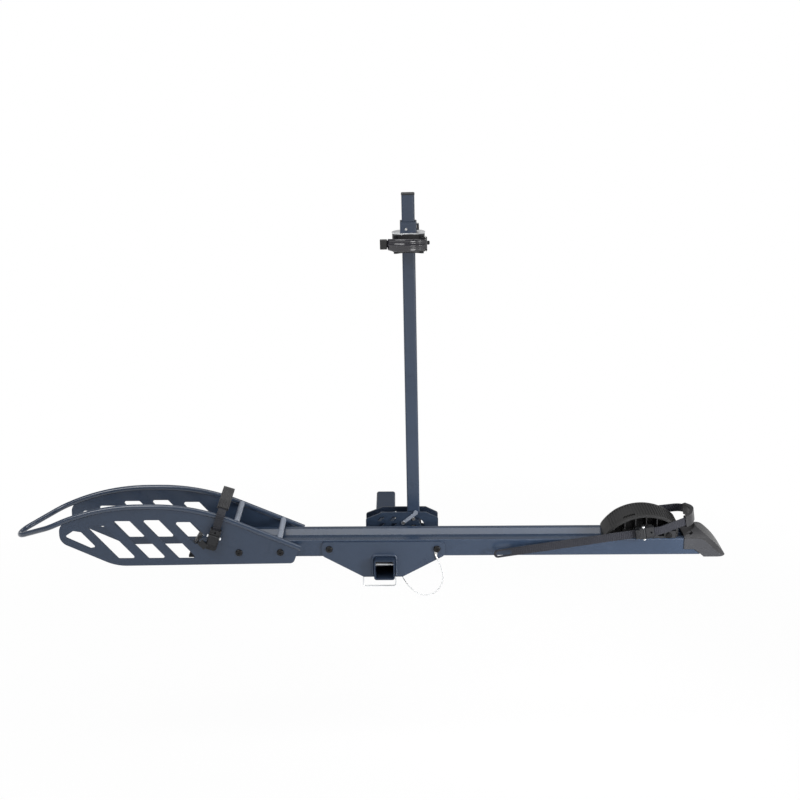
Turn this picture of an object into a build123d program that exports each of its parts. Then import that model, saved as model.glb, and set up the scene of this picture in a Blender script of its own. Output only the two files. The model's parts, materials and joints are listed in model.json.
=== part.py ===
from build123d import *
import os
from math import asin, cos, degrees, pi, radians, sin, sqrt, tan

os.makedirs("parts", exist_ok=True)

# The origin is the centre of the hitch pin hole, on the axis of the square spine tube.
# +X runs along the tray to the rear wheel, +Y towards the vehicle, +Z up. Millimetres.
# Most places are given as three values: x along the tray, across from the tray's centre
# line (plus towards the vehicle), and up from the spine's top face.

# Spine tube
tube_size = 50.8
tube_wall = 3.5
tube_corner = 6.5
pin_to_tray = 374.0
mouth_reach = 80.0
pin_to_end = 65.0
hitch_hole = 16.3
plug_flange = 3.0
plug_depth = 22.0

# Tray channel
tray_left = -452.0
tray_right = 770.0
tray_width = 100.0
tray_height = 42.0
tray_wall = 3.0
rim_width = 18.0
slope_run = 14.0
trough_depth = 12.0
lip_width = 12.0
cap_nose = 26.0
cap_shoulder = 4.0
cap_toe = 6.0
cap_depth = 18.0

# Fasteners and fits
plate_thick = 5.0
bolt_size = 8.0
bolt_clearance = 0.3
head_size = 17.0
head_height = 4.5
nut_size = 16.0
nut_height = 7.0
fit_gap = 0.3
weld_gap = 0.3

# Saddle plates, which carry the tray on the spine
saddle_left = -152.0
saddle_right = 147.5
saddle_foot_left = -51.0
saddle_foot_right = 44.5
saddle_top = 38.0
saddle_shoulder = 3.0
saddle_drop = 52.0
saddle_bolt_left = -134.5
saddle_bolt_right = 128.0
saddle_bolt_up = 20.5

# Wheel hoop and its two side plates
hoop_rod = 13.0
wheel_half = 74.0
hoop_crown = 138.7
hoop_crown_left = -587.0
hoop_crown_right = -559.0
hoop_radius = 500.0
hoop_left_angle = 24.2
hoop_right_angle = 23.1
hoop_end = -203.0
hoop_bend = -810.0
hoop_bend_radius = 70.0
nose_meet = -933.0
nose_radius = 36.0
plate_nose = -785.0
plate_nose_low = 50.0
plate_nose_radius = 32.0
plate_foot_left = -651.0
plate_foot_low = -11.5
plate_foot_right = -221.0
plate_foot_high = -7.0
plate_foot_radius = 120.0
plate_tuck = 3.0
plate_arch_radius = 380.0
slot_pitch = 73.0
slot_width = 44.0
slot_first = -660.5
slot_middle = 50.0
slot_slant = 0.89
slot_low = 7.0
last_slot_low = 43.0
slot_margin = 33.0
slot_corner = 5.0
plate_bolt_xs = (-352.0, -252.0)
plate_bolt_up = 21.5
spacer_size = 18.0
cross_bar = 14.0
cross_bar_xs = (-357.0, -254.0)

# Ratchet straps
strap_width = 20.0
strap_thick = 3.0
sleeve_width = 28.0
sleeve_thick = 9.0
base_thick = 2.5
cheek_thick = 2.2
cheek_height = 14.0
base_width = 27.0
ratchet_pin = 5.0
ratchet_pin_length = 35.0
ratchet_pin_rise = 11.0
barrel_size = 8.6
pin_running = 0.06
paddle_thick = 3.0

# Front wheel strap
front_strap_x = -412.0
front_strap_up = 60.0
front_strap_lean = 18.0
front_strap_out = 86.0
front_base_length = 54.0
front_pin_along = 7.5
front_shoulder = 64.0
front_arch = 86.0
front_arch_half = 56.0
front_end_along = 2.0

# Rear chock
chock_x = 638.0
chock_radius = 122.0
chock_crown = 101.0
chock_shell = 5.5
chock_left = 537.0
chock_right = 718.0
chock_half = 49.0
chock_foot_half = 43.0
chock_taper = 64.0
chock_foot_near = 36.0
chock_strap_side = 52.0
chock_rib_pitch = 26.0
chock_rib = 2.6
chock_rib_low = 60.0
groove_pitch = 7.0
groove_width = 3.0
groove_depth = 1.3
shoe_height = 6.0

# Rear wheel strap
rear_strap_x = 632.0
rear_strap_up = 64.0
rear_strap_tilt = 7.9
rear_strap_out = 68.0
rear_strap_back = 54.0
rear_buckle_lift = 1.0
rear_base_length = 44.0
rear_pin_along = -4.0
rear_tail = 370.0
rear_tail_out = 76.0
rear_anchor_along = 8.0
rear_loop = [(36.0, -68.0), (118.0, -22.0), (135.0, 30.0), (110.0, 76.0), (50.0, 80.0), (24.0, 54.0)]
rear_loop_radii = [50.0, 42.0, 50.0, 30.0, 25.0, 15.0]

# Ramp nose
ramp_left = 731.0
ramp_right = 835.0
ramp_low = -5.0
ramp_edge = 44.0
ramp_top = 61.0
ramp_peak_x = 764.0
ramp_side = 2.3
ramp_wall = 3.5
ramp_screw_x = 747.0
ramp_screw_across = 38.0

# Mast, its bracket and its lock
mast_size = 31.75
mast_wall = 2.5
mast_across = 125.0
mast_x = 73.0
mast_pivot_up = 18.0
mast_foot = 22.0
mast_length = 843.0
mast_lean = 0.8
mast_cap_height = 3.0
bracket_gap = 36.75
bracket_left = -48.0
bracket_right = 135.0
bracket_top = 59.0
bracket_shoulder = 42.0
bracket_drop = 52.0
pivot_size = 10.0
bush_size = 14.0
lock_pin_size = 8.0
lock_radius = 24.0
lever_pivot_x = 46.5
lever_pivot_up = 32.0
lever_rise = 38.0
lever_length = 42.0
lever_width = 8.0
lever_thick = 3.0

# Carriage that slides on the mast and holds the bicycle's frame
carriage_rise = 705.0
cradle_height = 45.0
cradle_radius = 39.5
ring_radius = 40.5
ring_thick = 2.0
collar_height = 26.0
collar_wall = 2.6
latch_out = 3.0
latch_pin_size = 2.4
liner_wall = 1.4
slide_gap = 0.35
frame_strap_radius = 60.0
frame_strap_width = 18.0
frame_lever_height = 24.0
frame_pin_x = 40.0
frame_pin_out = 45.0
frame_lever_rise = 24.0

# Accessory pin, its bail and its lanyard
accessory_across = -38.0
accessory_pin_size = 10.0
accessory_head_left = -58.0
accessory_head_right = -46.0
accessory_head_size = 13.0
accessory_tip = 38.0
bail_wire = 3.2
bail_plane = -47.0
bail_left = -52.0
bail_right = 27.4
bail_low = -78.5
bail_corner = 5.0
bail_hook = 2.4
cable_size = 2.0
eye_thick = 1.5
crimp_size = 5.0
crimp_length = 14.0

lanyard_route = [
    (31.8, -20.0, -36.0),
    (32.2, -10.0, -42.5),
    (36.0, -6.0, -55.0),
    (43.0, -16.0, -66.0),
    (50.0, -32.0, -73.0),
    (59.0, -46.0, -80.0),
    (74.0, -55.0, -92.0),
    (95.0, -59.0, -100.0),
    (118.0, -61.0, -96.0),
    (136.0, -62.0, -79.0),
    (144.5, -62.0, -54.0),
    (140.0, -60.5, -29.0),
    (129.5, -58.0, -6.0),
]

# Values worked out from the sizes above
tray_half = tray_width / 2
tray_floor = tray_height - trough_depth
saddle_face = tray_half + plate_thick
plate_face = wheel_half + plate_thick / 2
spacer_length = wheel_half - plate_thick / 2 - tray_half
bracket_near = mast_across - bracket_gap / 2 - plate_thick
bracket_far = mast_across + bracket_gap / 2 + plate_thick
pin_up = -tube_size / 2
collar_low = carriage_rise + cradle_height + ring_thick
collar_bore = mast_size + 2 * (slide_gap + liner_wall)
latch_x = collar_bore / 2 + collar_wall + latch_out
strap_rise = base_thick + fit_gap + strap_thick / 2


# Shared helpers

def place(x, across, up):
    """A point along the tray, across it and above the spine's top face."""
    return Vector(x, across - pin_to_tray, up + tube_size / 2)


def bar(start, direction, length, size):
    """A round bar from a point."""
    return extrude(Plane(origin=start, z_dir=direction) * Circle(size / 2), amount=length)


def cross_pin(x, up, start, end, size):
    """A round bar that runs across the tray."""
    return bar(place(x, start, up), (0, 1, 0), end - start, size)


def hex_across(x, up, start, end, flats):
    """A hexagonal block that runs across the tray."""
    face = Plane(origin=place(x, start, up), z_dir=(0, 1, 0))
    return extrude(face * RegularPolygon(flats / 2, 6, major_radius=False), amount=end - start)


def upright(across):
    """The plane parallel to the tray's sides, seen from the front."""
    return Plane(origin=place(0, across, 0), x_dir=(1, 0, 0), z_dir=(0, -1, 0))


def slab(outline, far, thick):
    """A flat piece parallel to the tray's sides, with its far face at `far`."""
    return extrude(upright(far) * outline, amount=thick)


def rounded(points, radii):
    """A closed outline with its own radius at each corner."""
    return make_face(FilletPolyline(*points, radius=radii, close=True))


def block(x0, x1, across0, across1, up0, up1):
    """A box between two corners."""
    low = place(x0, across0, up0)
    high = place(x1, across1, up1)
    size = high - low
    return Pos(*((low + high) * 0.5)) * Box(size.X, size.Y, size.Z)


def strap_along(path, across_strap, width, thick):
    """A flat strap that follows a path."""
    start = Plane(origin=path @ 0, x_dir=across_strap, z_dir=path % 0)
    return sweep(start * Rectangle(width, thick), path=path)


def rod_along(path, size):
    """A round rod that follows a path."""
    start = Plane(origin=path @ 0, z_dir=path % 0)
    return sweep(start * Circle(size / 2), path=path)


def spine_notch(drop, wide):
    """The gap in a plate that straddles the spine, open at the bottom."""
    size = tube_size + 2 * wide
    hole = Pos(0, pin_up) * RectangleRounded(size, size, tube_corner + wide)
    depth = drop - tube_size / 2 + 4 * wide
    return hole + Pos(0, -(drop + tube_size / 2) / 2 - wide) * Rectangle(size, depth)


def button_bolt(x, up, face, end, size, head=head_size):
    """A bolt whose domed head bears on `face`, seen from the front."""
    shank = cross_pin(x, up, face, end, size)
    dome = cross_pin(x, up, face - head_height, face, head)
    dome = fillet(dome.edges().group_by(Axis.Y)[0], head_height * 0.6)
    socket = hex_across(x, up, face - head_height, face - head_height / 2, size * 0.6)
    return shank + dome - socket


def nut(x, up, face, size, flats=nut_size, height=nut_height):
    """A hexagonal nut that bears on the far side of `face`."""
    return hex_across(x, up, face, face + height, flats * 0.8) - cross_pin(x, up, face, face + height, size)


# Spine

def spine_tube():
    """The square tube with its open mouth in front and its hitch pin hole behind."""
    section = RectangleRounded(tube_size, tube_size, tube_corner)
    inner = tube_size - 2 * tube_wall
    section -= RectangleRounded(inner, inner, tube_corner - tube_wall)
    mouth = Plane(origin=place(0, -mouth_reach, pin_up), x_dir=(1, 0, 0), z_dir=(0, 1, 0))
    tube = extrude(mouth * section, amount=mouth_reach + pin_to_tray + pin_to_end)
    tube -= bar(Vector(-tube_size, 0, 0), (1, 0, 0), 2 * tube_size, hitch_hole)
    hole = accessory_pin_size + 2 * bolt_clearance
    return tube - bar(place(-tube_size, accessory_across, pin_up), (1, 0, 0), 2 * tube_size, hole)


def spine_plug():
    """The moulded plug in the tube's vehicle end."""
    back = Plane(origin=(0, pin_to_end, 0), x_dir=(1, 0, 0), z_dir=(0, 1, 0))
    flange = extrude(back * RectangleRounded(tube_size, tube_size, tube_corner), amount=plug_flange)
    flange = fillet(flange.edges().group_by(Axis.Y)[-1], plug_flange * 0.5)
    inner = tube_size - 2 * (tube_wall + fit_gap)
    tongue = RectangleRounded(inner, inner, tube_corner - tube_wall)
    tongue -= RectangleRounded(inner - 6, inner - 6, 1.5)
    return flange + extrude(back * tongue, amount=-plug_depth)


def saddle_plate(far):
    """One of the two plates that straddle the spine and bolt to the tray's sides."""
    points = [
        (saddle_left, saddle_top),
        (saddle_left, saddle_shoulder),
        (saddle_foot_left, -saddle_drop),
        (saddle_foot_right, -saddle_drop),
        (saddle_right, saddle_shoulder),
        (saddle_right, saddle_top),
    ]
    outline = rounded(points, [8, 12, 4, 4, 12, 12]) - spine_notch(saddle_drop, weld_gap)
    plate = slab(outline, far, plate_thick)
    for x in (saddle_bolt_left, saddle_bolt_right):
        plate -= cross_pin(x, saddle_bolt_up, far - plate_thick, far, bolt_size + 2 * bolt_clearance)
    return plate


def saddle_bolts():
    """The two long bolts through both plates and the tray."""
    end = saddle_face + nut_height + 3
    left = button_bolt(saddle_bolt_left, saddle_bolt_up, -saddle_face, end, bolt_size)
    right = button_bolt(saddle_bolt_right, saddle_bolt_up, -saddle_face - eye_thick, end, bolt_size)
    return Compound(children=[left, right])


def saddle_nuts():
    places = (saddle_bolt_left, saddle_bolt_right)
    return Compound(children=[nut(x, saddle_bolt_up, saddle_face, bolt_size) for x in places])


# Tray

def tray_outline():
    """The top of the channel's section, from one foot over the trough to the other."""
    slope_top = tray_half - rim_width
    slope_foot = slope_top - slope_run
    return [
        (-tray_half, 0),
        (-tray_half, tray_height),
        (-slope_top, tray_height),
        (-slope_foot, tray_floor),
        (slope_foot, tray_floor),
        (slope_top, tray_height),
        (tray_half, tray_height),
        (tray_half, 0),
    ]


def tray_section():
    """The folded section: two rims, a sloped trough between them and two lips below."""
    slope_top = tray_half - rim_width
    slope_foot = slope_top - slope_run
    inner = tray_half - tray_wall
    shift = tray_wall * 0.36
    lip = tray_half - lip_width
    under = tray_height - tray_wall
    outer = [(-lip, 0)] + tray_outline() + [(lip, 0)]
    hollow = [
        (lip, tray_wall),
        (inner, tray_wall),
        (inner, under),
        (slope_top + shift, under),
        (slope_foot + shift, tray_floor - tray_wall),
        (-slope_foot - shift, tray_floor - tray_wall),
        (-slope_top - shift, under),
        (-inner, under),
        (-inner, tray_wall),
        (-lip, tray_wall),
    ]
    radii = [0, 3, 3, 2, 2, 2, 2, 3, 3, 0] + [0] * len(hollow)
    return rounded(outer + hollow, radii)


def along_tray(x):
    """The plane across the tray at a place along it."""
    return Plane(origin=place(x, 0, 0), x_dir=(0, 1, 0), z_dir=(1, 0, 0))


def tray_channel():
    tray = extrude(along_tray(tray_left) * tray_section(), amount=tray_right - tray_left)
    reach = tray_half + 1
    for x in (saddle_bolt_left, saddle_bolt_right):
        tray -= cross_pin(x, saddle_bolt_up, -reach, reach, bolt_size + 2 * bolt_clearance)
    for x in plate_bolt_xs:
        tray -= cross_pin(x, plate_bolt_up, -reach, reach, bolt_size + 2 * bolt_clearance)
    for across in (-ramp_screw_across, ramp_screw_across):
        tray -= bar(place(ramp_screw_x, across, tray_floor), (0, 0, 1), tray_height, 5.4)
    return tray


def tray_end_cap():
    """The moulded cap on the channel's front wheel end."""
    face = make_face(Polyline(*tray_outline(), close=True))
    flange = extrude(along_tray(tray_left) * face, amount=-cap_nose)
    profile = [
        (tray_left, 0),
        (tray_left, tray_height),
        (tray_left - cap_shoulder, tray_height),
        (tray_left - cap_nose, cap_toe),
        (tray_left - cap_nose, 0),
    ]
    flange &= slab(rounded(profile, [0, 0, 3, 3, 0]), tray_half, tray_width)
    inset = tray_wall + fit_gap
    high = tray_floor - inset
    tongue = Pos(0, (high + inset) / 2) * Rectangle(2 * (tray_half - inset), high - inset)
    tongue -= Pos(0, (high + inset) / 2) * Rectangle(2 * (tray_half - inset) - 6, high - inset - 6)
    return flange + extrude(along_tray(tray_left) * tongue, amount=cap_depth)


# Wheel hoop

def hoop_corners():
    """The two corners of the hoop's side profile, where its straight ends meet the crown line."""
    left = hoop_crown_left - hoop_radius * tan(radians(hoop_left_angle / 2))
    right = hoop_crown_right + hoop_radius * tan(radians(hoop_right_angle / 2))
    return left, right


def hoop_left_height(x):
    return hoop_crown - (hoop_corners()[0] - x) * tan(radians(hoop_left_angle))


def hoop_right_height(x):
    return hoop_crown - (x - hoop_corners()[1]) * tan(radians(hoop_right_angle))


def hoop_arch_height(x):
    """The hoop's centre line over the curved part of its arch."""
    reach = max(hoop_crown_left - x, x - hoop_crown_right, 0)
    return hoop_crown - hoop_radius + sqrt(hoop_radius**2 - reach**2)


def wheel_hoop():
    """The bent rod: two arched arms that close to a narrow nose."""
    left, right = hoop_corners()
    arm = [
        (hoop_end, hoop_right_height(hoop_end)),
        (right, hoop_crown),
        (left, hoop_crown),
        (hoop_bend, hoop_left_height(hoop_bend)),
    ]
    near = [place(x, -wheel_half, up) for x, up in arm]
    far = [place(x, wheel_half, up) for x, up in reversed(arm)]
    nose = place(nose_meet, 0, hoop_left_height(nose_meet))
    bends = [hoop_radius * 0.999, hoop_radius * 0.999, hoop_bend_radius]
    path = FilletPolyline(*near, nose, *far, radius=bends + [nose_radius] + bends[::-1])
    return rod_along(path, hoop_rod)


def slot_outline(number):
    """One of the slanted openings, its top kept a steady margin below the hoop."""
    middle = slot_first + number * slot_pitch
    low = last_slot_low if number == 3 else slot_low
    high = hoop_arch_height(middle - slot_slant * slot_middle) - slot_margin
    corners = []
    for up, side in ((low, -1), (high, -1), (high, 1), (low, 1)):
        x = middle - slot_slant * (up - slot_middle) + side * slot_width / 2
        corners.append((x, up))
    return rounded(corners, [slot_corner] * 4)


def nose_opening():
    """The small opening in the nose of a side plate."""
    points = [
        (plate_nose + 12, plate_nose_low + 14),
        (plate_nose + 34, plate_nose_low + 29),
        (plate_nose + 53, plate_nose_low + 26),
        (plate_nose + 88, plate_nose_low - 13),
        (plate_nose + 74, plate_nose_low - 16),
    ]
    return rounded(points, [4, 5, 5, 4, 4])


def wheel_plate_outline():
    left, right = hoop_corners()
    points = [
        (plate_nose, hoop_left_height(plate_nose) - plate_tuck),
        (plate_nose, plate_nose_low),
        (plate_foot_left, plate_foot_low),
        (plate_foot_right, plate_foot_high),
        (hoop_end - 4, hoop_right_height(hoop_end) - plate_tuck + 2),
        (right, hoop_crown - plate_tuck),
        (left, hoop_crown - plate_tuck),
    ]
    radii = [plate_nose_radius * 0.9, plate_nose_radius * 0.9, plate_foot_radius, 12, 3]
    return rounded(points, radii + [hoop_radius * 0.999, plate_arch_radius])


def wheel_plate(side, hoop):
    """A side plate under one arm of the hoop, coped to the rod."""
    outline = wheel_plate_outline() - nose_opening()
    for number in range(4):
        outline -= slot_outline(number)
    middle = side * wheel_half
    plate = slab(outline, middle + plate_thick / 2, plate_thick) - hoop
    for x in plate_bolt_xs:
        plate -= cross_pin(x, plate_bolt_up, middle - 4, middle + 4, bolt_size + 2 * bolt_clearance)
    reach = front_anchor_place()[0 if side < 0 else 1]
    return plate - cross_pin(reach[0], reach[1], middle - 4, middle + 4, 6 + 2 * bolt_clearance)


def cross_bars(hoop):
    """The two round bars welded between the hoop's arms."""
    reach = wheel_half - plate_thick / 2 - 0.1
    bars = [cross_pin(x, hoop_right_height(x), -reach, reach, cross_bar) - hoop for x in cross_bar_xs]
    return Compound(children=bars)


def plate_spacers():
    """The four sleeves that hold the side plates off the tray."""
    sleeves = []
    for x in plate_bolt_xs:
        for start in (-tray_half - spacer_length, tray_half):
            sleeve = cross_pin(x, plate_bolt_up, start, start + spacer_length, spacer_size)
            end = start + spacer_length
            sleeves.append(sleeve - cross_pin(x, plate_bolt_up, start, end, bolt_size + 0.6))
    return Compound(children=sleeves)


def plate_bolts():
    end = plate_face + nut_height + 3
    bolts = [button_bolt(x, plate_bolt_up, -plate_face, end, bolt_size) for x in plate_bolt_xs]
    return Compound(children=bolts)


def plate_nuts():
    return Compound(children=[nut(x, plate_bolt_up, plate_face, bolt_size) for x in plate_bolt_xs])


# Ratchet buckles, drawn flat: x along the strap, y across it, z outwards

def ratchet_base(length, pin_along):
    """The channel that the strap runs through, with a bridge over its loop end."""
    end = length / 2
    floor = Pos(0, 0, base_thick / 2) * Box(length, base_width, base_thick)
    base = floor
    cheek_start = pin_along - 12
    for side in (-1, 1):
        y = side * (base_width - cheek_thick) / 2
        cheek = Box(end - cheek_start, cheek_thick, cheek_height)
        cheek = Pos((cheek_start + end) / 2, y, cheek_height / 2) * cheek
        base += chamfer(cheek.edges().filter_by(Axis.Y).group_by(Axis.Z)[-1], 3)
    bridge_start = pin_along + 6.5
    bridge_size = end - bridge_start
    bridge = Box(bridge_size, base_width - cheek_thick, 2)
    base += Pos((bridge_start + end) / 2 - 1.5, 0, cheek_height - 3) * bridge
    base -= Pos(end - 8, 0, cheek_height) * Cylinder(2.6, 8)
    base -= Pos(4 - end, 0, 0) * Cylinder(3, 4 * base_thick)
    pin = Rot(90, 0, 0) * Cylinder(ratchet_pin / 2, 2 * base_width)
    return base - Pos(pin_along, 0, ratchet_pin_rise) * pin


def ratchet_lever(length, pin_along, tab):
    """The lever on the pin: a barrel with a ribbed paddle, and a thumb tab on one side."""
    width = base_width - 2 * cheek_thick - 2 * fit_gap
    reach = length / 2 + pin_along + 2
    barrel = Rot(90, 0, 0) * Cylinder(barrel_size / 2, width)
    paddle = Pos(-reach / 2, 0, 2.4) * Box(reach, width, paddle_thick)
    lever = barrel + paddle
    for step in range(4):
        lever += Pos(-reach + 2 + 3.2 * step, 0, 2.4 + paddle_thick / 2 + 0.4) * Box(1.4, width, 1)
    if tab:
        wing = Pos(-reach + 8, width / 2 + 9, 3.4) * Rot(0, 0, -28) * Box(15, 20, 5)
        lever += wing
    lever -= Rot(90, 0, 0) * Cylinder(ratchet_pin / 2 + pin_running, 2 * width)
    return Pos(pin_along, 0, ratchet_pin_rise) * lever


def ratchet_axle(pin_along):
    """The pin through both cheeks, domed at each end."""
    pin = Rot(90, 0, 0) * Cylinder(ratchet_pin / 2, ratchet_pin_length - 4)
    for side in (-1, 1):
        knob = Rot(90, 0, 0) * Cylinder(3.6, 3)
        rim = knob.edges().sort_by(Axis.Y)[0 if side < 0 else -1]
        pin += Pos(0, side * (ratchet_pin_length / 2 - 1.5), 0) * fillet(rim, 1.2)
    return Pos(pin_along, 0, ratchet_pin_rise) * pin


# Front wheel strap

def front_spot(along, across):
    """A place in the leaning plane of the front strap."""
    lean = radians(front_strap_lean)
    return place(front_strap_x + along * sin(lean), across, front_strap_up + along * cos(lean))


def front_frame():
    """The plane on which the front buckle is built, facing the front."""
    lean = radians(front_strap_lean)
    origin = front_spot(0, -front_strap_out + strap_rise)
    return Plane(origin=origin, x_dir=(sin(lean), 0, cos(lean)), z_dir=(0, -1, 0))


def front_anchor_place():
    """Where the bolts of the front strap pass the two side plates."""
    lean = radians(front_strap_lean)
    places = []
    for along in (4 - front_base_length / 2, front_end_along + 8):
        places.append((front_strap_x + along * sin(lean), front_strap_up + along * cos(lean)))
    return places


def front_path(tail, far_end):
    """The strap's route up the near plate, over both arms and down the far plate."""
    points = [
        front_spot(tail, -front_strap_out),
        front_spot(front_shoulder, -front_strap_out),
        front_spot(front_arch, -front_arch_half),
        front_spot(front_arch, front_arch_half),
        front_spot(front_shoulder, front_strap_out),
        front_spot(far_end, front_strap_out),
    ]
    return FilletPolyline(*points, radius=[14, 50, 50, 14])


def front_width_direction():
    lean = radians(front_strap_lean)
    return Vector(cos(lean), 0, -sin(lean))


def front_strap():
    path = front_path(11 - front_base_length / 2, front_end_along)
    strap = strap_along(path, front_width_direction(), strap_width, strap_thick)
    x, up = front_anchor_place()[1]
    return strap - cross_pin(x, up, front_strap_out - 3, front_strap_out + 3, 6)


def front_sleeve():
    """The rubber sleeve over the top of the front strap."""
    run = front_spot(front_arch, -front_arch_half) - front_spot(front_shoulder, -front_strap_out)
    start = front_spot(front_arch, -front_arch_half) - run.normalized() * 17
    back = front_spot(front_arch, front_arch_half) - front_spot(front_shoulder, front_strap_out)
    end = front_spot(front_arch, front_arch_half) - back.normalized() * 17
    middle = [front_spot(front_arch, -front_arch_half), front_spot(front_arch, front_arch_half)]
    path = FilletPolyline(start, *middle, end, radius=[50 * 0.999, 50 * 0.999])
    outer = strap_along(path, front_width_direction(), sleeve_width, sleeve_thick)
    bore = strap_along(path, front_width_direction(), strap_width + 2 * fit_gap, strap_thick + 2 * fit_gap)
    return outer - bore


def front_anchors():
    """The bolts and sleeves that hold the buckle and the strap's far end."""
    (near_x, near_up), (far_x, far_up) = front_anchor_place()
    base_back = -front_strap_out + strap_rise
    near = cross_pin(near_x, near_up, base_back - base_thick, 5.5 - plate_face, 6)
    near += cross_pin(near_x, near_up, base_back - base_thick - 3, base_back - base_thick, 11)
    near += cross_pin(near_x, near_up, base_back, -plate_face, 12)
    near += cross_pin(near_x, near_up, plate_thick - plate_face, plate_thick + 4 - plate_face, 11)
    strap_in = front_strap_out - strap_thick / 2
    far = cross_pin(far_x, far_up, plate_face - plate_thick, strap_in + strap_thick, 6)
    far += cross_pin(far_x, far_up, plate_face, strap_in, 12)
    far += cross_pin(far_x, far_up, strap_in + strap_thick, strap_in + strap_thick + 3, 13)
    far += cross_pin(far_x, far_up, plate_face - plate_thick - 4, plate_face - plate_thick, 11)
    return Compound(children=[near, far])


def on_front(shape):
    return front_frame().location * shape


# Rear chock

def chock_plan():
    """The chock seen from above: full width at the crown, narrower at its feet."""
    points = [
        (chock_left, -chock_foot_half),
        (chock_x - chock_taper, -chock_half),
        (chock_x + chock_strap_side, -chock_half),
        (chock_right, -chock_foot_near),
        (chock_right, chock_foot_half),
        (chock_x + chock_taper, chock_half),
        (chock_x - chock_taper, chock_half),
        (chock_left, chock_foot_half),
    ]
    return rounded(points, [6, 30, 30, 6, 6, 30, 30, 6])


def trough_space():
    """Everything at and below the tray's top surface, with the running clearance."""
    points = [(a, up + fit_gap * 1.4) for a, up in tray_outline()[1:-1]]
    reach = tray_width
    points = [(-reach, -reach), (-reach, points[0][1])] + points + [(reach, points[-1][1]), (reach, -reach)]
    face = make_face(Polyline(*points, close=True))
    return extrude(along_tray(chock_left - 20) * face, amount=chock_right - chock_left + 40)


def chock_arch(radius, low):
    """The round top of the chock down to a level."""
    centre = chock_crown - chock_radius
    disc = Pos(chock_x, centre) * Circle(radius)
    keep = Pos((chock_left + chock_right) / 2, low + 150) * Rectangle(chock_right - chock_left, 300)
    return disc & keep


def chock():
    """The arched rest for the rear wheel: shell, end walls, ribs, sliding shoe and strap lugs."""
    low = tray_floor
    skin = chock_arch(chock_radius, low)
    inner = chock_arch(chock_radius - chock_shell, low)
    middle = (chock_left + chock_right) / 2
    inner &= Pos(middle, 100) * Rectangle(chock_right - chock_left - 2 * chock_shell, 300)
    body = slab(skin - inner, chock_half, 2 * chock_half)
    ribs = range(-3, 3)
    for number in ribs:
        x = chock_x + number * chock_rib_pitch
        rib = Pos(x, 100) * Rectangle(chock_rib, 2 * (100 - chock_rib_low))
        body += slab(rib & inner, chock_half - 4, 2 * (chock_half - 4))
        deep = Pos(x, 100) * Rectangle(chock_rib, 200)
        body += slab(deep & inner, 15, 30)
    spine = Pos(chock_x, 100) * Rectangle(chock_right - chock_left, 200)
    body += slab(spine & inner, 1.5, 3)
    body += block(chock_left, chock_right, -16.5, 16.5, low, low + shoe_height)
    stud = rear_boss()
    body += block(chock_x - 13, chock_x + 13, -chock_half, -chock_half + 5, stud, stud + 24)
    body += block(chock_x - 14, chock_x + 18, chock_half - 4, chock_half, stud, chock_crown - 8)
    plan = extrude(Plane(origin=place(0, 0, 0)) * chock_plan(), amount=200)
    body = body & plan
    body -= trough_space()
    body += cross_pin(rear_strap_x - 14, rear_strap_up - 2, -rear_strap_out + strap_rise, -chock_half + 2, 16)
    body += cross_pin(rear_strap_x + 10, rear_strap_up + 1, -rear_strap_out + strap_rise, -chock_half + 2, 16)
    centre = place(chock_x, 0, chock_crown - chock_radius)
    half_count = int(radians(44) * chock_radius / groove_pitch)
    for number in range(-half_count, half_count + 1):
        turn = degrees(number * groove_pitch / chock_radius)
        groove = Pos(0, 0, chock_radius) * Box(groove_width, 2 * (chock_half - 9), 2 * groove_depth)
        body -= Pos(*centre) * Rot(0, turn, 0) * groove
    body -= block(chock_x - 54, chock_x - 26, -33, -23, 70, 120)
    return body


def rear_boss():
    """The lowest point of the chock's near lug."""
    return rear_strap_up - 12


def chock_clamp():
    """The hook that grips the tray's near rim beside the chock."""
    low = tray_height + 1.4 * fit_gap
    clamp = block(chock_right - 62, chock_right - 8, -tray_half + 2, -18, low, chock_rib_low)
    clamp -= block(chock_right - 50, chock_right - 36, -tray_half, -30, low + 4, chock_rib_low)
    return clamp - cross_pin(chock_right - 24, low + 8, -tray_half, -16, 6.6)


def chock_screw():
    """The clamp's thumb screw."""
    x = chock_right - 24
    up = tray_height + 1.4 * fit_gap + 8
    screw = cross_pin(x, up, -tray_half + 2, -20, 6)
    return screw + hex_across(x, up, -tray_half - 4, -tray_half + 2, 12)


# Rear wheel strap

def rear_spot(along, across):
    """A place in the tilted plane of the rear strap."""
    tilt = radians(rear_strap_tilt)
    return place(rear_strap_x + along * cos(tilt), across, rear_strap_up + along * sin(tilt))


def rear_up():
    tilt = radians(rear_strap_tilt)
    return Vector(-sin(tilt), 0, cos(tilt))


def rear_frame():
    """The plane on which the rear buckle is built, facing the front."""
    tilt = radians(rear_strap_tilt)
    origin = rear_spot(0, -rear_strap_out + strap_rise) + rear_up() * rear_buckle_lift
    return Plane(origin=origin, x_dir=(cos(tilt), 0, sin(tilt)), z_dir=(0, -1, 0))


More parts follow.
